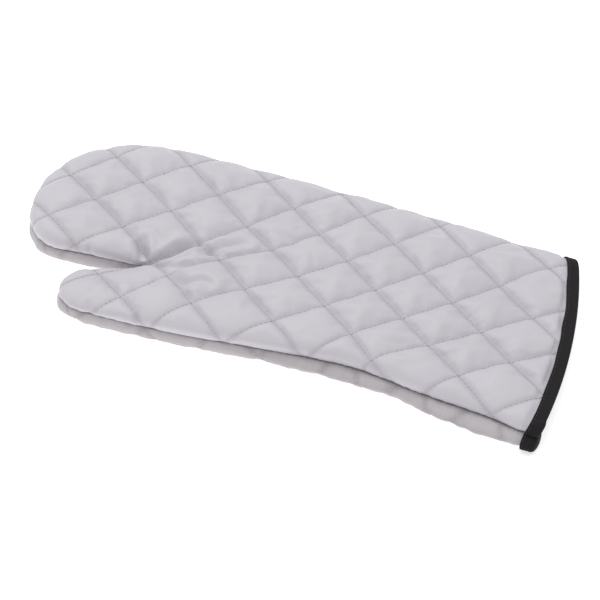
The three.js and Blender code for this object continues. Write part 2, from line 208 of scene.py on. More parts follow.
# Places on the pattern are counted from the fingertip and from the middle of the palm
palm_far_side = 0.0961
pattern_origin = np.array([seam_corners[:, 0].min(), seam_corners[:, 1].max() - palm_far_side])


def on_pattern(along, across):
    return pattern_origin + (along, across)


print(len(seam_corners), "seam corners;", len(hem_corners), "corners on the cuff's edge")

# %% [markdown]
# ## From flat pattern to padded side
# Each panel starts as a flat pattern inside the outline. The middle stays level, and the last
# 20 mm roll down to the seam. A table gives the section of that side, and a nearest-point search
# tells how far each place is from the seam.

# %% Outline as a dense line with its inward direction
def inward_of(line):
    """Direction into the panel at each point of the outline."""
    along = np.gradient(line, axis=0)
    along /= np.linalg.norm(along, axis=1)[:, None]
    return np.column_stack([-along[:, 1], along[:, 0]])


seam_step = 0.0003
seam_line = smooth_curve(seam_corners, seam_step)
cuff_spare = 0.03
for end, step in ((0, 1), (-1, -1)):
    direction = seam_line[end] - seam_line[end + 8 * step]
    onward = np.linspace(seam_step, cuff_spare, 100)[:, None]
    spare = seam_line[end] + direction / np.linalg.norm(direction) * onward
    seam_line = np.vstack([spare[::-1], seam_line] if end == 0 else [seam_line, spare])
seam_inward = inward_of(seam_line)
seam_tree = kdtree.KDTree(len(seam_line))
for k, place in enumerate(seam_line):
    seam_tree.insert((*place, 0), k)
seam_tree.balance()


def nearest_seam(places):
    """Foot on the outline, inward direction and signed distance for each plan place."""
    found = np.array([seam_tree.find((*p, 0))[1] for p in places])
    inward = seam_inward[found]
    depth = np.sum((places - seam_line[found]) * inward, axis=1)
    return places - inward * depth[:, None], inward, depth


# %% Section of the padded side
side_depth = 0.020
side_bulge = 0.0012
side_section = np.array([
    # inward, rise, bulge
    (0, 0, 0), (0, 0.26, 1), (0.03, 0.53, 0.85), (0.14, 0.77, 0.2), (0.42, 0.94, 0), (1, 1, 0),
])
lower_section = np.array([
    (0, 0, 0), (0, 0.25, 1.1), (0, 0.6, 1.6), (0.01, 0.88, 1.1), (0.13, 0.985, 0.2), (1, 1, 0),
])
lining_depth = 0.017
lining_section = np.array([(0, 0, 0), (0.12, 0.55, 0), (0.5, 0.88, 0), (1, 1, 0)])
upper_rise = 0.0095
lower_rise = 0.008
stitched_wall = 0.003


def make_section(table, depth, rise):
    """A smooth section: share of its length, inset, rise and outward normal at each point."""
    bulge = table[:, 2] * side_bulge
    points = np.column_stack([table[:, 0] * depth - bulge, table[:, 1] * rise, bulge])
    curve = smooth_curve(points, 0.0002)
    run = arc_length(curve[:, :2])
    along = np.gradient(curve[:, :2], axis=0)
    along /= np.linalg.norm(along, axis=1)[:, None]
    return {"depth": depth, "rise": rise, "run": run[-1], "share": run / run[-1],
            "inset": curve[:, 0], "height": curve[:, 1], "bulge": curve[:, 2] / side_bulge,
            "out": -along[:, 1], "up": along[:, 0]}


# %% [markdown]
# ## Levels of the top
# The palm is hardly crowned, the cuff is pressed down by its tape, and the crotch between thumb
# and fingers pulls a short valley into the cloth and holds down the root of the thumb.

# %% Levels
crown_height = 0.0005
crown_reach = 0.07
cuff_press = 0.002
cuff_press_reach = 0.12
crotch = on_pattern(0.110, -0.0345)
valley_depth = 0.004
valley_length = 0.075
valley_width = 0.022
valley_turn = math.radians(37)
thumb_dip = on_pattern(0.098, -0.051)
dip_depth = 0.0080
dip_reach = 0.026
deepest = 0.006  # the hollow stays open under it


def ease(t):
    """0 to 1 with soft ends."""
    t = np.clip(t, 0, 1)
    return t * t * (3 - 2 * t)


def upper_level(places):
    """Height of the upper panel's stitch lines above its sides."""
    depth = nearest_seam(places)[2]
    crown = crown_height * ease(depth / crown_reach)
    pressed = cuff_press * ease(1 - (hem_x(places[:, 1]) - places[:, 0]) / cuff_press_reach)
    c, s = math.cos(valley_turn), math.sin(valley_turn)
    onward, aside = ((places - crotch) @ np.array([[c, -s], [s, c]])).T
    valley = np.exp(-(onward / valley_length) ** 2 - (aside / valley_width) ** 2)
    dip = np.exp(-np.sum((places - thumb_dip) ** 2, axis=1) / dip_reach ** 2)
    drop = pressed + valley_depth * valley + dip_depth * dip
    return crown - deepest * np.tanh(drop / deepest)


def no_change(places):
    """For a face that stays level, or has no flare or no folds."""
    return np.zeros(len(places))


# %% [markdown]
# ## Flare of the lower side
# Towards the cuff the lower panel lies a little wider than the upper one, as cloth does that the
# table carries. Its side is pushed out there, and held in where a stitch line meets the seam.

# %% Flare of the lower side
cuff_flare = 0.0070
flare_from = 0.165
flare_full = 0.330
flare_fade = 0.04
flare_held = 0.55
flare_side = 0.04
flare_pinch = 0.65  # a stitch line that meets the seam here holds the side in
flare_pinch_at = 0.314
flare_pinch_reach = 0.022


def lower_flare(places):
    """How much further the lower panel's side stands out, growing towards the cuff."""
    grown = ease((places[:, 0] - pattern_origin[0] - flare_from) / (flare_full - flare_from))
    free = ease((hem_x(places[:, 1]) - places[:, 0]) / flare_fade)
    near = ease((pattern_origin[1] - places[:, 1]) / flare_side)
    beside_pinch = (places[:, 0] - pattern_origin[0] - flare_pinch_at) / flare_pinch_reach
    left = 1 - flare_pinch * np.exp(-beside_pinch ** 2)
    return cuff_flare * grown * near * left * (flare_held + (1 - flare_held) * free)


print("crotch at", np.round(1000 * crotch, 1))

# %% [markdown]
# ## The quilting grid
# The cloth was quilted before it was cut: two sets of straight stitch lines cross at right angles
# and make 36.8 mm squares. A place on the cloth is counted in squares, so the stitch lines are
# the whole numbers. Sewing is never exact, so a slow noise moves the lines by half a millimetre.

# %% Quilt grid
quilt_pitch = 0.0368
quilt_turn = math.radians(8.2)
quilt_crossing = on_pattern(0.2310, 0.0153)
wobble = 0.0006
wobble_size = 0.05
noise.seed_set(1)  # without it the wobble would follow the clock
upper_pulls = [
    # Where the cloth is pulled, in squares, how far along both diagonals, and over what reach
    {"at": (4, 2), "shift": (0.0034, 0.0015), "reach": 0.150},
    {"at": (-3, 0), "shift": (-0.0018, -0.0057), "reach": 0.045},
    {"at": (-2, -6), "shift": (-0.0092, 0.0060), "reach": 0.100},
    {"at": (-1, 3), "shift": (-0.0021, -0.0088), "reach": 0.030},
    {"at": (3, 0), "shift": (0.0017, -0.0122), "reach": 0.065},
    {"at": (-1, -5), "shift": (0.0045, -0.0127), "reach": 0.065},
    {"at": (-2, -2), "shift": (-0.0009, 0.0053), "reach": 0.030},
    {"at": (-2, -1), "shift": (0.0023, -0.0056), "reach": 0.030},
    {"at": (-3, -1), "shift": (0.0014, -0.0074), "reach": 0.030},
    {"at": (0, 4), "shift": (0.0024, -0.0044), "reach": 0.045},
    {"at": (3, 2), "shift": (0.0016, -0.0062), "reach": 0.030},
    {"at": (1, -1), "shift": (-0.0006, -0.0035), "reach": 0.030},
    {"at": (-1, -2), "shift": (-0.0011, 0.0037), "reach": 0.030},
    {"at": (-3, -2), "shift": (0.0010, 0.0039), "reach": 0.030},
]


def grid_axes(turn):
    return np.array([[math.cos(turn + a), math.sin(turn + a)] for a in (math.pi / 4, -math.pi / 4)])


def cloth_drift(places, face):
    """How far the cloth has moved from its straight grid."""
    drift = np.array([
        wobble * np.array(noise.noise_vector(Vector((x / wobble_size, y / wobble_size, face["seed"]))))[:2]
        for x, y in places
    ])
    axes = grid_axes(face["turn"])
    for pull in face["pulls"]:
        middle = quilt_crossing + np.array(pull["at"]) @ axes * quilt_pitch
        away = np.linalg.norm(places - middle, axis=1) / pull["reach"]
        drift += np.exp(-away ** 2)[:, None] * (np.array(pull["shift"]) @ axes)
    return drift


def to_squares(places, face):
    """Plan places to places on the cloth, in squares."""
    straight = places - cloth_drift(places, face)
    return (straight - quilt_crossing) @ grid_axes(face["turn"]).T / quilt_pitch


def from_squares(squares, face):
    """Places on the cloth, in squares, to plan places."""
    straight = quilt_crossing + squares @ grid_axes(face["turn"]) * quilt_pitch
    return straight + cloth_drift(straight, face)


# %% [markdown]
# ## Folds
# The crotch gathers the cloth, so a few short folds fan out from it, and small pinches sit along
# the seam. Each one is a short line on the pattern with a width and a depth.

# %% Folds
folds = [
    {"line": [(0.0925, -0.0227), (0.0987, -0.0355)], "width": 0.0016, "depth": 0.0018},
    {"line": [(0.0960, -0.0190), (0.1090, -0.0350)], "width": 0.0030, "depth": 0.0058},
    {"line": [(0.1085, -0.0345), (0.1180, -0.0240), (0.1290, -0.0070)], "width": 0.0034, "depth": 0.0046},
    {"line": [(0.1120, -0.0375), (0.1330, -0.0350)], "width": 0.0028, "depth": 0.0022},
    {"line": [(0.1305, -0.0330), (0.1375, -0.0300)], "width": 0.0024, "depth": 0.0026},
    {"line": [(0.1400, -0.0140), (0.1490, -0.0040), (0.1610, 0.0040)], "width": 0.0036, "depth": 0.0028},
    {"line": [(0.1340, -0.0460), (0.1468, -0.0550), (0.1543, -0.0480), (0.1620, -0.0500)],
     "width": 0.0032, "depth": 0.0028},
    {"line": [(0.0635, -0.0270), (0.0660, -0.0355)], "width": 0.0016, "depth": 0.0014},
    {"line": [(0.0935, -0.0880), (0.0965, -0.0950)], "width": 0.0016, "depth": 0.0015},
    {"line": [(0.1290, -0.0860), (0.1330, -0.0950)], "width": 0.0018, "depth": 0.0017},
    {"line": [(0.0920, 0.0340), (0.1020, 0.0270)], "width": 0.0045, "depth": 0.0012},
    {"line": [(0.1770, 0.0240), (0.1870, 0.0210)], "width": 0.0045, "depth": 0.0010},
]
fold_lip = 0.35
fold_limit = 0.7  # share of the cloth's height above the seam that a fold may press in


def upper_folds(places):
    """How deep the folds of the upper panel press the cloth in, less the small lips beside them."""
    pressed, lips = np.zeros(len(places)), np.zeros(len(places))
    for fold in folds:
        line = pattern_origin + np.array(fold["line"])
        reach = arc_length(line)
        nearest = np.full(len(places), np.inf)
        share = np.zeros(len(places))
        for start, end, before, after in zip(line, line[1:], reach, reach[1:]):
            t = np.clip((places - start) @ (end - start) / (after - before) ** 2, 0, 1)
            away = np.linalg.norm(places - start - t[:, None] * (end - start), axis=1)
            share = np.where(away < nearest, (before + t * (after - before)) / reach[-1], share)
            nearest = np.minimum(nearest, away)
        beside = nearest / fold["width"]
        deep = fold["depth"] * np.sqrt(np.sin(math.pi * (0.12 + 0.76 * share)))
        pressed = np.maximum(pressed, deep * np.exp(-beside ** 2))
        lips = np.maximum(lips, fold_lip * deep * np.exp(-(beside - 2.2) ** 2))
    return pressed - lips


# %% [markdown]
# ## Effects that several cloths share
# Weave, soft unevenness and puckers are node groups. Each is built once and gets its own values
# in every material. They read the flat cloth's map, so the threads follow the folds.

# %% Helpers for node groups
def new_group(name, inputs, outputs):
    """An empty shader node group with float and vector sockets."""
    group = bpy.data.node_groups.new(name, "ShaderNodeTree")
    for socket, kind, value in inputs:
        made = group.interface.new_socket(name=socket, in_out="INPUT", socket_type=kind)
        if value is not None:
            made.default_value = value
    for socket in outputs:
        group.interface.new_socket(name=socket, in_out="OUTPUT", socket_type="NodeSocketFloat")
    return group, group.nodes.new("NodeGroupInput"), group.nodes.new("NodeGroupOutput")


def add_math(tree, operation, first, second=None, clamp=False):
    """A Math node; each value is a socket or a number. Gives back its output."""
    node = tree.nodes.new("ShaderNodeMath")
    node.operation = operation
    node.use_clamp = clamp
    for socket, value in zip(node.inputs, (first, second)):
        if isinstance(value, bpy.types.NodeSocket):
            tree.links.new(value, socket)
        elif value is not None:
            socket.default_value = value
    return node.outputs[0]


def add_noise(tree, vector, scale, detail, roughness=0.5):
    """A noise texture; scale may be a socket. Gives back its value output."""
    node = tree.nodes.new("ShaderNodeTexNoise")
    tree.links.new(vector, node.inputs["Vector"])
    if isinstance(scale, bpy.types.NodeSocket):
        tree.links.new(scale, node.inputs["Scale"])
    else:
        node.inputs["Scale"].default_value = scale
    node.inputs["Detail"].default_value = detail
    node.inputs["Roughness"].default_value = roughness
    return node.outputs[0]


# %% Woven thread group
def make_weave_group():
    """Crossing threads: a height for bump, and a mask that is dark between the threads."""
    group, start, end = new_group(
        "woven_threads",
        [("Cloth", "NodeSocketVector", None), ("Thread", "NodeSocketFloat", 0.0006)],
        ["Height", "Thread mask"],
    )
    split = group.nodes.new("ShaderNodeSeparateXYZ")
    group.links.new(start.outputs["Cloth"], split.inputs[0])
    waves = []
    for axis in (0, 1):
        turns = add_math(group, "DIVIDE", split.outputs[axis], start.outputs["Thread"])
        angle = add_math(group, "MULTIPLY", turns, math.pi)
        waves.append(add_math(group, "SINE", angle))
    crossing = add_math(group, "MULTIPLY", waves[0], waves[1])
    height = add_math(group, "MULTIPLY_ADD", crossing, 0.5)
    height.node.inputs[2].default_value = 0.5
    size = add_math(group, "ABSOLUTE", crossing)
    group.links.new(height, end.inputs["Height"])
    group.links.new(size, end.inputs["Thread mask"])
    return group


# %% Uneven cloth group
def make_uneven_group():
    """Slow and fine unevenness, both around one half."""
    group, start, end = new_group(
        "uneven_cloth",
        [("Cloth", "NodeSocketVector", None), ("Patch scale", "NodeSocketFloat", 18.0),
         ("Speck scale", "NodeSocketFloat", 700.0)],
        ["Patches", "Specks"],
    )
    patches = add_noise(group, start.outputs["Cloth"], start.outputs["Patch scale"], 3)
    specks = add_noise(group, start.outputs["Cloth"], start.outputs["Speck scale"], 2)
    group.links.new(patches, end.inputs["Patches"])
    group.links.new(specks, end.inputs["Specks"])
    return group


# %% Stitched pucker group
# Reach of the painted groove shade beside each set of stitch lines, as shares of the Line width
line_reach = (1.1, 0.75)


def make_pucker_group():
    """Small pulls that run away from the stitch lines, and a mask along the sewn line for painted groove
    shade.
    """
    group, start, end = new_group(
        "stitched_puckers",
        [("Cloth", "NodeSocketVector", None), ("Square", "NodeSocketFloat", 0.0368),
         ("Reach", "NodeSocketFloat", 0.2), ("Line", "NodeSocketFloat", 0.10)],
        ["Height", "Line mask"],
    )
    split = group.nodes.new("ShaderNodeSeparateXYZ")
    group.links.new(start.outputs["Cloth"], split.inputs[0])
    heights, lines = [], []
    for axis in (0, 1):
        squares = add_math(group, "DIVIDE", split.outputs[axis], start.outputs["Square"])
        whole = add_math(group, "ROUND", squares)
        away = add_math(group, "ABSOLUTE", add_math(group, "SUBTRACT", squares, whole))
        share = add_math(group, "DIVIDE", away, start.outputs["Reach"])
        near = add_math(group, "SUBTRACT", 1.0, share, True)
        join = group.nodes.new("ShaderNodeCombineXYZ")
        across = add_math(group, "MULTIPLY", split.outputs[axis], 0.14)
        group.links.new(across, join.inputs[axis])
        group.links.new(split.outputs[1 - axis], join.inputs[1 - axis])
        pulls = add_noise(group, join.outputs[0], 330.0, 1)
        heights.append(add_math(group, "MULTIPLY", add_math(group, "SUBTRACT", pulls, 0.5), near))
        reach = add_math(group, "MULTIPLY", start.outputs["Line"], line_reach[axis])
        lines.append(add_math(group, "SUBTRACT", 1.0, add_math(group, "DIVIDE", away, reach), True))
    group.links.new(add_math(group, "ADD", heights[0], heights[1]), end.inputs["Height"])
    group.links.new(add_math(group, "MAXIMUM", lines[0], lines[1]), end.inputs["Line mask"])
    return group


weave_group, uneven_group, pucker_group = make_weave_group(), make_uneven_group(), make_pucker_group()
print("node groups:", [g.name for g in bpy.data.node_groups])

# %% [markdown]
# ## Materials
# The outer cloth is silver-grey coated cotton, a little glossy. The lining is plain cotton. The
# tape is matt black with a ribbed weave. The quilting thread is grey and the tape's own is black.
# The lower panel is the side that lies on the table. Its cloth is a little rougher, and painted
# darker and warmer as painted shade of its side wall. A mask paints the shade of a narrow groove
# into the cloth along the stitch lines.

# %% Cloth material
speck_depth = 0.00006
pucker_depth = 0.0007
# Painted shade: how much darker the cloth is painted along the stitch lines, for the groove's shade
line_darkness = 0.58
rough_spread = 0.16


def make_cloth(name, light, dark, roughness, thread, weave_depth, quilted, sheen=0.0, gloss=0.5):
    """A cloth material whose colour, roughness and bump come from the shared groups."""
    paint = bpy.data.materials.new(name)
    paint.use_nodes = True
    tree = paint.node_tree
    shader = tree.nodes["Principled BSDF"]
    shader.inputs["Sheen Weight"].default_value = sheen
    shader.inputs["Specular IOR Level"].default_value = gloss
    cloth = tree.nodes.new("ShaderNodeUVMap")
    cloth.uv_map = "cloth"

    def place(group, **values):
        node = tree.nodes.new("ShaderNodeGroup")
        node.node_tree = group
        tree.links.new(cloth.outputs[0], node.inputs["Cloth"])
        for key, value in values.items():
            node.inputs[key.replace("_", " ")].default_value = value
        return node

    weave = place(weave_group, Thread=thread)
    uneven = place(uneven_group)
    tone = tree.nodes.new("ShaderNodeMix")
    tone.data_type = "RGBA"
    tone.inputs["A"].default_value = (*dark, 1)
    tone.inputs["B"].default_value = (*light, 1)
    shade = add_math(tree, "MULTIPLY_ADD", uneven.outputs["Patches"], 0.4)
    shade.node.use_clamp = True
    threads = add_math(tree, "MULTIPLY_ADD", weave.outputs["Thread mask"], 0.2)
    threads.node.inputs[2].default_value = 0.5
    tree.links.new(threads, shade.node.inputs[2])
    height = add_math(tree, "MULTIPLY", weave.outputs["Height"], weave_depth)
    specks = add_math(tree, "MULTIPLY", uneven.outputs["Specks"], speck_depth)
    height = add_math(tree, "ADD", height, specks)
    if quilted:
        puckers = place(pucker_group, Square=quilt_pitch)
        pulls = add_math(tree, "MULTIPLY", puckers.outputs["Height"], pucker_depth)
        height = add_math(tree, "ADD", height, pulls)
        # Painted shade of the groove along every stitch line, taken off the cloth's tone
        painted_groove_shade = add_math(tree, "MULTIPLY", puckers.outputs["Line mask"], line_darkness)
        shade = add_math(tree, "SUBTRACT", shade, painted_groove_shade, True)
    tree.links.new(shade, tone.inputs["Factor"])
    tree.links.new(tone.outputs["Result"], shader.inputs["Base Color"])
    rough = add_math(tree, "MULTIPLY_ADD", uneven.outputs["Patches"], rough_spread)
    rough.node.inputs[2].default_value = roughness - rough_spread / 2
    tree.links.new(rough, shader.inputs["Roughness"])
    bump = tree.nodes.new("ShaderNodeBump")
    bump.inputs["Strength"].default_value = 1.0
    bump.inputs["Distance"].default_value = 1.0
    tree.links.new(height, bump.inputs["Height"])
    tree.links.new(bump.outputs[0], shader.inputs["Normal"])
    return paint


silver_cloth = make_cloth(
    "silver_quilted_cloth", (0.640, 0.613, 0.663), (0.475, 0.450, 0.495), 0.50, 0.0006, 0.00004, True)
# Painted shade: the lower panel gets a darker, warmer copy of the silver cloth for its shaded side wall
lower_cloth = make_cloth(
    "painted_shade_quilted_cloth", (0.555, 0.520, 0.545), (0.38, 0.35, 0.37), 0.62, 0.0006, 0.00004, True)
lining_cloth = make_cloth(
    "cotton_lining", (0.62, 0.60, 0.56), (0.48, 0.46, 0.42), 0.85, 0.0009, 0.00012, True, 0.2)
tape_cloth = make_cloth(
    "black_binding_tape", (0.015, 0.013, 0.015), (0.007, 0.006, 0.007), 0.85, 0.0007, 0.00012, False,
    gloss=0.25)
grey_thread = make_cloth(
    "grey_quilting_thread", (0.59, 0.565, 0.61), (0.48, 0.46, 0.50), 0.6, 0.0002, 0.00005, False)
black_thread = make_cloth(
    "black_edge_thread", (0.024, 0.021, 0.025), (0.016, 0.014, 0.017), 0.6, 0.0002, 0.00005, False)

# %% [markdown]
# ## One face of a panel
# A face is the outer cloth or the lining. Its points are the outline, the cuff's edge and a fine
# grid along the stitch lines, joined by Blender's own Delaunay triangulation. Every stitch line
# then has a row of points exactly on it, which the cloth simulation can hold down.

# %% Roll a flat place into 3-D
hem_strip = 0.0085
hem_rise = 0.005
hem_fade = 0.04
corner_lean = 0.9
corner_side = -0.060
corner_reach = 0.030


def roll_down(places, face, swell=0.0):
    """Lay flat plan places on the panel's shape, pushed out by swell along the cloth's normal."""
    section = face["section"]
    foot, inward, depth = nearest_seam(places)
    share = np.clip((depth - face["start"]) / section["depth"], 0, 1)
    rolled = (depth < face["start"] + section["depth"])[:, None]
    inset = face["start"] + np.interp(share, section["share"], section["inset"])
    inset -= np.interp(share, section["share"], section["bulge"]) * face["flare"](foot)
    shoulder = np.where(rolled, foot + inward * (face["start"] + section["depth"]), places)
    height = np.interp(share, section["share"], section["height"])
    height = height + height / section["rise"] * face["level"](shoulder)
    swell = swell - np.minimum(face["folds"](places), fold_limit * height)
    out = np.where(rolled[:, 0], np.interp(share, section["share"], section["out"]), 0) * swell
    up = np.where(rolled[:, 0], np.interp(share, section["share"], section["up"]), 1) * swell
    plan = np.where(rolled, foot + inward * inset[:, None], places) + inward * out[:, None]
    level = face["seam"] + face["sign"] * (height + up)
    # Close to the cuff each row keeps its own distance from the cuff's leaning edge
    from_hem = hem_x(places[:, 1]) - places[:, 0]
    beside_hem = ease((hem_fade - from_hem) / (hem_fade - hem_strip))
    held_up = 1 - corner_lean * ease((corner_side - plan[:, 1]) / corner_reach) * (level < seam_level)
    hem_here = hem_x(plan[:, 1]) + hem_lean * held_up * (level - seam_level)
    plan[:, 0] += beside_hem * (hem_here - from_hem - plan[:, 0])
    return np.column_stack([plan, level])


def cloth_of(places, face):
    """Where each pattern place is on the flat cloth, in squares."""
    section = face["section"]
    foot, inward, depth = nearest_seam(places)
    run_left = section["run"] * (1 - np.clip((depth - face["start"]) / section["depth"], 0, 1))
    shoulder = foot + inward * (face["start"] + section["depth"])
    flat = np.where(run_left[:, None] > 0, shoulder - inward * run_left[:, None], places)
    return to_squares(flat, face)


def pattern_of(squares, face):
    """Where points of the quilting grid are on the pattern, and whether they are on it at all."""
    section = face["section"]
    flat = from_squares(squares, face)
    foot, inward, depth = nearest_seam(flat)
    off_line = np.linalg.norm(flat - foot - inward * depth[:, None], axis=1)
    run_left = face["start"] + section["depth"] - depth
    share = 1 - run_left / section["run"]
    side = foot + inward * (face["start"] + section["depth"] * share)[:, None]
    places = np.where(run_left[:, None] > 0, side, flat)
    return places, (share > face["clear"]) & (off_line < 0.0004)


# %% Points round the edge of the pattern
edge_spacing = 0.0023
hem_spacing = 0.0021


def pattern_edge(face):
    """Outline from the far corner of the cuff round to the near one, then back along the cuff."""
    seam = seam_line + seam_inward * face["start"]
    shoulder = seam_line + seam_inward * (face["start"] + side_depth)
    on_panel = seam[:, 0] < hem_x(seam[:, 1])
    seam, shoulder = seam[on_panel], shoulder[on_panel]
    pace = (arc_length(seam) + arc_length(shoulder)) / 2
    side_count, loop_count = face.get("counts") or (
        round(pace[-1] / edge_spacing) + 1,
        round(pace[-1] / edge_spacing) + 1 + round((seam[0, 1] - seam[-1, 1]) / hem_spacing),
    )
    even = np.linspace(0, pace[-1], side_count)
    side = np.column_stack([np.interp(even, pace, seam[:, axis]) for axis in (0, 1)])
    side[0, 0], side[-1, 0] = hem_x(side[0, 1]), hem_x(side[-1, 1])
    across = np.linspace(side[-1, 1], side[0, 1], loop_count - side_count + 2)[1:-1]
    return np.vstack([side, np.column_stack([hem_x(across), across])]), side_count


# %% Cut a face to the pattern
grid_reach = 12  # squares each way from the quilt's middle, more than the glove has
seam_pull = 0.006


def cut_face(face, per_square, edge):
    """Pattern places, their squares and the triangles of one layer of cloth, edge points first."""
    reach = grid_reach * per_square
    i, j = np.meshgrid(np.arange(-reach, reach + 1), np.arange(-reach, reach + 1))
    squares = np.column_stack([i.ravel(), j.ravel()]) / per_square
    places, fits = pattern_of(squares, face)
    fits &= places[:, 0] < hem_x(places[:, 1]) - 0.6 * quilt_pitch / per_square
    places = np.vstack([edge, places[fits]])
    squares = np.vstack([cloth_of(edge, face), squares[fits]])
    loop = list(range(len(edge)))
    found = geometry.delaunay_2d_cdt([Vector(p) for p in places], [], [loop], 1, 1e-7, True)
    old = np.array([ids[0] for ids in found[3]])
    faces = old[np.array(found[2])][:, ::face["sign"] * face["side"]]
    middles = places[faces].mean(axis=1)
    kept = nearest_seam(middles)[2] > face["start"]
    return places, squares, faces[kept].tolist()


def layer_of_cloth(name, face, per_square, edge, puff):
    """A mesh object of one layer, with its flat cloth in metres as the UV map."""
    places, squares, faces = cut_face(face, per_square, edge)
    lobes = (1 - (2 * (squares % 1) - 1) ** 4).prod(axis=1)
    from_hem = hem_x(places[:, 1]) - places[:, 0]
    from_seam = nearest_seam(places)[2] - face["start"]
    swell = puff * lobes * ease((from_hem - hem_strip) / hem_rise) * ease(from_seam / seam_pull)
    corners = roll_down(places, face, swell)
    mesh = bpy.data.meshes.new(name)
    mesh.from_pydata(corners.tolist(), [], faces)
    cloth_map = mesh.uv_layers.new(name="cloth")
    corner_index = np.zeros(len(mesh.loops), int)
    mesh.loops.foreach_get("vertex_index", corner_index)
    cloth_map.data.foreach_set("uv", (squares * quilt_pitch)[corner_index].ravel())
    mesh.materials.append(face["cloth"])
    layer = bpy.data.objects.new(name, mesh)
    bpy.context.scene.collection.objects.link(layer)
    return layer, places, squares


# %% [markdown]
# ## Padding by cloth simulation
# The wadding behind each square pushes the cloth out while the stitches hold it down. A cloth
# simulation does the same: the stitch lines, the seam and the cuff are pinned, air pressure
# pushes from inside, and a little spare cloth lets it pucker beside the stitches.

# %% Blow up one layer
sim_frames = 20
sim_pressure = 5.0
spare_cloth = 0.025
puff_start = 0.003
puff_limit = 0.0075
puff_share = 0.8


def select_only(*objects):
    bpy.ops.object.select_all(action="DESELECT")
    for one in objects:
        one.select_set(True)
    bpy.context.view_layer.objects.active = objects[0]


def corners_of(piece):
    values = np.zeros(3 * len(piece.data.vertices))
    piece.data.vertices.foreach_get("co", values)
    return values.reshape(-1, 3)


def place_corners(piece, corners):
    piece.data.vertices.foreach_set("co", corners.ravel())
    piece.data.update()


def blow_up(layer, pinned):
    """Cloth simulation of one quilted layer; pinned points stay where they are."""
    sewn = layer.vertex_groups.new(name="sewn")
    sewn.add([int(v) for v in pinned], 1.0, "REPLACE")
    cloth = layer.modifiers.new("padding", "CLOTH")
    cloth.settings.vertex_group_mass = "sewn"
    cloth.settings.quality = 6
    cloth.settings.mass = 0.08
    cloth.settings.air_damping = 2
    cloth.settings.tension_stiffness = 8
    cloth.settings.compression_stiffness = 8
    cloth.settings.shear_stiffness = 2
    cloth.settings.bending_stiffness = 0.4
    cloth.settings.shrink_min = -spare_cloth
    cloth.settings.use_pressure = True
    cloth.settings.uniform_pressure_force = sim_pressure
    cloth.settings.effector_weights.gravity = 0
    for number in range(1, sim_frames + 1):
        bpy.context.scene.frame_set(number)
    select_only(layer)
    bpy.ops.object.modifier_apply(modifier=cloth.name)
    layer.vertex_groups.clear()
    bpy.context.scene.frame_set(1)


# %% [markdown]
# ## Calm sides and crisp flanks
# The simulated puffs are rounder than real wadding at the seam and too soft at the stitches. So the
# sides keep only a share of their puff, and steep flanks rise from every stitch line.

# %% Calmer puffs on the sides
side_calm_reach = 0.03
side_puff_left = 0.3


def side_calm(places, face):
    """Share of its puff that the cloth keeps: little beside the seam, all of it further in."""
    depth = nearest_seam(places)[2] - face["start"]
    return side_puff_left + (1 - side_puff_left) * ease(depth / side_calm_reach)


# %% Crisp flanks beside the stitches
flank_height = 0.0020
flank_width = 0.0026
groove_share = np.array([1.0, 0.65])  # the first set of lines is sewn tighter
gather_length = 0.007
gather_reach = 0.010
gather_start = 0.002


def crisp_flanks(places, squares, face):
    """Steep flanks that rise from every stitch line, and small gathers along the seam."""
    from_line = np.abs(squares - np.round(squares)) * quilt_pitch
    flanks = (1 - groove_share * np.exp(-from_line / flank_width)).prod(axis=1)
    foot, _, depth = nearest_seam(places)
    from_hem = hem_x(places[:, 1]) - places[:, 0]
    free = ease((from_hem - hem_strip) / hem_rise)
    beside_seam = np.exp(-((depth - face["start"]) / gather_reach) ** 2) * ease(depth / gather_start)
    gathers = np.array([noise.noise(Vector((x / gather_length, y / gather_length, face["seed"])))
                        for x, y in foot])
    return free * (flank_height * flanks * side_calm(places, face) + face["gather"] * gathers * beside_seam)


# %% [markdown]
# ## Making both panels
# A panel is its outer cloth and its lining, joined by strips round the edge into one closed form.
# The outer cloth has many points for each square and the lining few, since it hardly shows.

# %% Make a panel from its outer cloth and its lining
skin_points = 16
lining_points = 4
table_gap = 0.0002


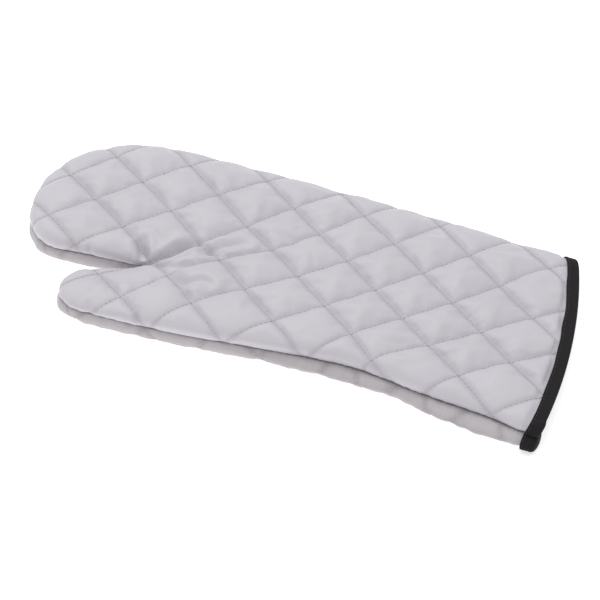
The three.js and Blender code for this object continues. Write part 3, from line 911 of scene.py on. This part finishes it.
def make_panel(name, skin, lining):
    """A closed padded panel: outer cloth, lining, and the strips that join them."""
    skin_edge, side_count = pattern_edge(skin)
    lining_edge, _ = pattern_edge({**lining, "counts": (side_count, len(skin_edge))})
    outer, places, squares = layer_of_cloth(name, skin, skin_points, skin_edge, puff_start)
    inner, _, _ = layer_of_cloth(name + "_lining", lining, lining_points, lining_edge, 0.0)
    select_only(outer)
    bpy.ops.object.mode_set(mode="EDIT")
    bpy.ops.mesh.select_all(action="SELECT")
    bpy.ops.mesh.tris_convert_to_quads(face_threshold=0.7, shape_threshold=0.7)
    bpy.ops.object.mode_set(mode="OBJECT")
    sewn_level = roll_down(places, skin)
    on_stitch = (np.abs(squares - np.round(squares)) < 1e-3).any(axis=1)
    on_hem = hem_x(places[:, 1]) - places[:, 0] < hem_strip
    on_hem[:len(skin_edge)] = True
    held = on_stitch | on_hem
    place_corners(outer, np.where(held[:, None], sewn_level, corners_of(outer)))
    blow_up(outer, np.flatnonzero(held))
    moved = corners_of(outer) - sewn_level
    size = np.linalg.norm(moved, axis=1)
    print(name, "puffs up to", round(1000 * size.max(), 2), "mm")
    moved *= np.minimum(1, puff_limit / np.maximum(size, 1e-9))[:, None]
    moved *= puff_share * side_calm(places, skin)[:, None]
    crisp_level = roll_down(places, skin, crisp_flanks(places, squares, skin))
    place_corners(outer, crisp_level + moved)
    count = len(outer.data.vertices)
    select_only(outer, inner)
    bpy.ops.object.join()
    loop = len(skin_edge)
    rim = bmesh.new()
    rim.from_mesh(outer.data)
    rim.verts.ensure_lookup_table()
    for k in range(loop):
        after = (k + 1) % loop
        corners = [k, after, count + after, count + k]
        rim.faces.new([rim.verts[v] for v in corners[::-skin["sign"]]])
    bmesh.ops.recalc_face_normals(rim, faces=rim.faces)
    rim.to_mesh(outer.data)
    rim.free()
    corners = corners_of(outer)
    corners[:, 2] = np.maximum(corners[:, 2], table_gap)
    place_corners(outer, corners)
    return outer


lower_seam_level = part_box("lower_panel")[1].z
upper_outer = {"section": make_section(side_section, side_depth, upper_rise), "start": 0.0, "side": 1,
               "sign": 1, "seam": seam_level, "level": upper_level, "flare": no_change,
               "turn": quilt_turn, "seed": 1.0, "clear": 0.06, "pulls": upper_pulls,
               "folds": upper_folds, "cloth": silver_cloth, "gather": 0.0006}
lower_outer = {**upper_outer, "section": make_section(lower_section, side_depth, lower_rise),
               "sign": -1, "seam": lower_seam_level, "level": no_change, "flare": lower_flare,
               "turn": -quilt_turn, "seed": 2.0, "pulls": [], "folds": no_change, "cloth": lower_cloth,
               "gather": 0.0014}


def lining_of(skin):
    section = make_section(lining_section, lining_depth, skin["section"]["rise"] - stitched_wall)
    return {**skin, "section": section, "start": stitched_wall, "side": -1, "clear": 0.4,
            "flare": no_change, "cloth": lining_cloth}


panels = {}
for name, skin in (("upper_quilted_panel", upper_outer), ("lower_quilted_panel", lower_outer)):
    panel = make_panel(name, skin, lining_of(skin))
    half = panel.modifiers.new("rounder", "SUBSURF")
    half.levels = half.render_levels = 1
    select_only(panel)
    bpy.ops.object.modifier_apply(modifier=half.name)
    bpy.ops.object.shade_smooth()
    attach(panel, "root")
    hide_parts(name.replace("quilted_", ""))
    panels[name] = panel
    print(name, "has", len(panel.data.polygons), "faces")

# %% [markdown]
# ## Quilting stitches
# The stitches are short ends of thread that dip into the cloth, one every 3.5 mm. One stitch is
# modelled from a small ball, and its copies are laid along every stitch line at the height where
# a ray meets the finished panel, so each one sits in its groove.

# %% Flat map of a narrow piece
def map_by_place(piece):
    """A cloth map in metres, from across and height added to the distance along the glove."""
    corner_index = np.zeros(len(piece.data.loops), int)
    piece.data.loops.foreach_get("vertex_index", corner_index)
    corners = corners_of(piece)[corner_index]
    flat = np.column_stack([corners[:, 0] + corners[:, 2], corners[:, 1]])
    cloth_map = piece.data.uv_layers.get("cloth") or piece.data.uv_layers.new(name="cloth")
    cloth_map.data.foreach_set("uv", flat.ravel())


# %% One stitch
stitch_length = 0.0026
stitch_gap = 0.0009
thread_width = 0.0008
bpy.ops.object.select_all(action="DESELECT")
bpy.ops.mesh.primitive_uv_sphere_add(segments=6, ring_count=5, radius=0.5)
pattern_stitch = bpy.context.object
bpy.ops.transform.rotate(value=math.pi / 2, orient_axis="Y", center_override=(0, 0, 0))
bpy.ops.object.transform_apply(location=True, rotation=True, scale=True)
stitch_corners = corners_of(pattern_stitch)
stitch_faces = [list(f.vertices) for f in pattern_stitch.data.polygons]
bpy.data.objects.remove(pattern_stitch)
print("one stitch has", len(stitch_faces), "faces")


# %% Lay stitches along a line
ray_reach = 0.008
stitch_stretch = (0.3, 1.4)  # a stitch that would be shorter or bridge a gap is left out


def lay_stitches(lines, ground, sink, size):
    """Corners and faces of stitches along 3-D lines of (place, outward) points on a mesh."""
    length, width = size
    corners, faces = [], []
    for points, outward in lines:
        run = arc_length(points)
        starts = np.arange(0.4 * length, run[-1] - length, length + stitch_gap)
        for start in starts:
            ends = []
            for at in (start, start + length):
                here = Vector([np.interp(at, run, points[:, a]) for a in range(3)])
                out = Vector([np.interp(at, run, outward[:, a]) for a in range(3)]).normalized()
                hit = ground.ray_cast(here + out * ray_reach, -out, 2 * ray_reach)[0]
                if hit:
                    ends.append(hit + out * sink)
            if len(ends) < 2:
                continue
            along = ends[1] - ends[0]
            if not stitch_stretch[0] < along.length / length < stitch_stretch[1]:
                continue
            aside = out.cross(along).normalized()
            up = along.cross(aside).normalized()
            turn = np.array([along, aside * width, up * width])
            middle = np.array((ends[0] + ends[1]) / 2)
            faces.extend([[v + len(corners) for v in f] for f in stitch_faces])
            corners.extend((stitch_corners @ turn + middle).tolist())
    return corners, faces


def stitch_piece(name, lines, ground, sink=0.0001, size=(stitch_length, thread_width)):
    corners, faces = lay_stitches(lines, ground, sink, size)
    mesh = bpy.data.meshes.new(name)
    mesh.from_pydata(corners, [], faces)
    piece = bpy.data.objects.new(name, mesh)
    bpy.context.scene.collection.objects.link(piece)
    map_by_place(piece)
    select_only(piece)
    bpy.ops.object.shade_smooth()
    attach(piece, "root")
    print(name, "has", len(faces) // len(stitch_faces), "stitches")
    return piece


# %% Quilting stitches of both panels
tape_width = 0.008
under_tape = 0.003


def quilt_lines(skin):
    """Every stitch line of a panel, cut where it leaves the cloth."""
    fine = np.arange(-grid_reach, grid_reach, 0.02)
    lines = []
    for number in range(-grid_reach, grid_reach + 1):
        for across in (0, 1):
            squares = np.column_stack([np.full_like(fine, number), fine])[:, ::1 - 2 * across]
            places, fits = pattern_of(squares, skin)
            fits &= hem_x(places[:, 1]) - places[:, 0] > tape_width - under_tape
            for part in np.split(np.arange(len(fine)), np.flatnonzero(np.diff(fits)) + 1):
                if fits[part[0]] and len(part) > 12:
                    points = roll_down(places[part], skin)
                    outward = roll_down(places[part], skin, 0.001) - points
                    lines.append((points, outward))
    return lines


stitches = {}
for name, skin in (("upper_quilted_panel", upper_outer), ("lower_quilted_panel", lower_outer)):
    piece_name = name.replace("quilted_panel", "quilting_stitches")
    ground = bvhtree.BVHTree.FromObject(panels[name], bpy.context.evaluated_depsgraph_get())
    stitches[piece_name] = stitch_piece(piece_name, quilt_lines(skin), ground)

# %% [markdown]
# ## Cuff binding
# The raw edge of the cuff is wrapped in one folded tape. It starts as a circle of points round
# the mouth, which is extruded row by row: down the outside leg, round the fold and up the inside
# leg. Solidify then gives the tape its thickness.

# %% Rows of the tape
tape_thickness = 0.001
tape_clearance = 0.0003
tape_middle = tape_clearance + tape_thickness / 2
tape_waver = 0.10
waver_length = 0.022
tape_overlap = 0.0011
overlap_share = 0.045
overlap_ramp = 0.012
tape_lowest = 0.0008
leg_rows = [tape_width, 0.0074, 0.0056, 0.0037, 0.0019, 0.0005]
fold_turns = np.radians([60, 25, -25, -60])


def mouth_places(face, shares, from_hem):
    """Pattern places at each share of the way across the cuff, at a distance from its edge."""
    seam = seam_line + seam_inward * face["start"]
    on_panel = seam[seam[:, 0] < hem_x(seam[:, 1])]
    across = on_panel[-1, 1] + (on_panel[0, 1] - on_panel[-1, 1]) * shares
    waver = np.array([noise.noise(Vector((y / waver_length, face["seed"], 0))) for y in across])
    inside = from_hem * (1 + tape_waver * waver)
    return np.column_stack([hem_x(across) - inside, across])


def overlap_at(shares):
    """Extra height where the tape's ends lie over each other, beside the thumb's side seam."""
    return tape_overlap * (1 - ease((shares - overlap_share) / overlap_ramp))


band = side_depth / (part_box("cuff_binding")[1].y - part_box("cuff_binding")[0].y)
mouth_shares = np.concatenate([
    np.linspace(0, band, 13)[:-1], np.linspace(band, 1 - band, 70)[:-1], np.linspace(1 - band, 1, 13),
])


def mouth_row(skins, from_hem, offset):
    """One closed row of tape points, over the upper panel and back under the lower one."""
    upper, lower = (
        roll_down(mouth_places(face, shares, from_hem), face, offset + np.sign(offset) * overlap_at(shares))
        for face, shares in zip(skins, (mouth_shares, mouth_shares[::-1]))
    )
    return np.vstack([upper, lower])


outer_skins = (upper_outer, lower_outer)
inner_skins = (lining_of(upper_outer), lining_of(lower_outer))
tape_rows = [mouth_row(outer_skins, d, tape_middle) for d in leg_rows]
outer_lip = mouth_row(outer_skins, 0, tape_middle)
inner_lip = mouth_row(inner_skins, 0, -tape_middle)
fold_middle = (outer_lip + inner_lip) / 2
both_shares = np.concatenate([mouth_shares, mouth_shares[::-1]])
for turn in fold_turns:
    row = fold_middle + (outer_lip - inner_lip) / 2 * math.sin(turn)
    row[:, 0] += (tape_middle + 0.0002 + overlap_at(both_shares)) * math.cos(turn)
    tape_rows.append(row)
tape_rows += [mouth_row(inner_skins, d, -tape_middle) for d in leg_rows[::-1]]
tape_rows = np.array(tape_rows)
tape_rows[:, :, 2] = np.maximum(tape_rows[:, :, 2], tape_lowest)

# %% Extrude the tape from a circle
bpy.ops.object.select_all(action="DESELECT")
bpy.ops.mesh.primitive_circle_add(vertices=tape_rows.shape[1], radius=0.09)
tape = bpy.context.object
tape.name = "cuff_tape"
bpy.ops.object.mode_set(mode="EDIT")
for _ in tape_rows[1:]:
    bpy.ops.mesh.extrude_region_move(TRANSFORM_OT_translate={"value": (0.001, 0, 0)})
bpy.ops.object.mode_set(mode="OBJECT")
place_corners(tape, tape_rows.reshape(-1, 3))
wall = tape.modifiers.new("wall", "SOLIDIFY")
wall.thickness = tape_thickness
wall.offset = 0
softer = tape.modifiers.new("softer", "SUBSURF")
softer.levels = softer.render_levels = 1
select_only(tape)
for modifier in (wall, softer):
    bpy.ops.object.modifier_apply(modifier=modifier.name)
bpy.ops.object.mode_set(mode="EDIT")
bpy.ops.mesh.select_all(action="SELECT")
bpy.ops.mesh.normals_make_consistent(inside=False)
bpy.ops.object.mode_set(mode="OBJECT")
bpy.ops.object.shade_smooth()
map_by_place(tape)
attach(tape, "root")
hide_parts("cuff_binding")
print("tape has", len(tape.data.polygons), "faces")

# %% [markdown]
# ## Edge stitches of the tape
# One row of black stitches holds the tape's leg, a little in from its edge. It is laid on the
# finished tape by rays, as the quilting stitches were on the panels.

# %% Edge stitches of the tape
edge_inset = 0.0016
edge_thread_width = 0.0006
edge_lines = []
edge_shares = np.linspace(0.004, 0.996, 400)
for skin in outer_skins:
    row_places = mouth_places(skin, edge_shares, tape_width - edge_inset)
    points = roll_down(row_places, skin, tape_middle)
    above = roll_down(row_places, skin, tape_middle + 0.001)
    edge_lines.append((points, above - points))
tape_ground = bvhtree.BVHTree.FromObject(tape, bpy.context.evaluated_depsgraph_get())
edge_stitches = stitch_piece("tape_edge_stitches", edge_lines, tape_ground,
                             size=(stitch_length, edge_thread_width))

# %% Put the materials on
for piece in stitches.values():
    piece.data.materials.append(grey_thread)
edge_stitches.data.materials.append(black_thread)
tape.data.materials.append(tape_cloth)
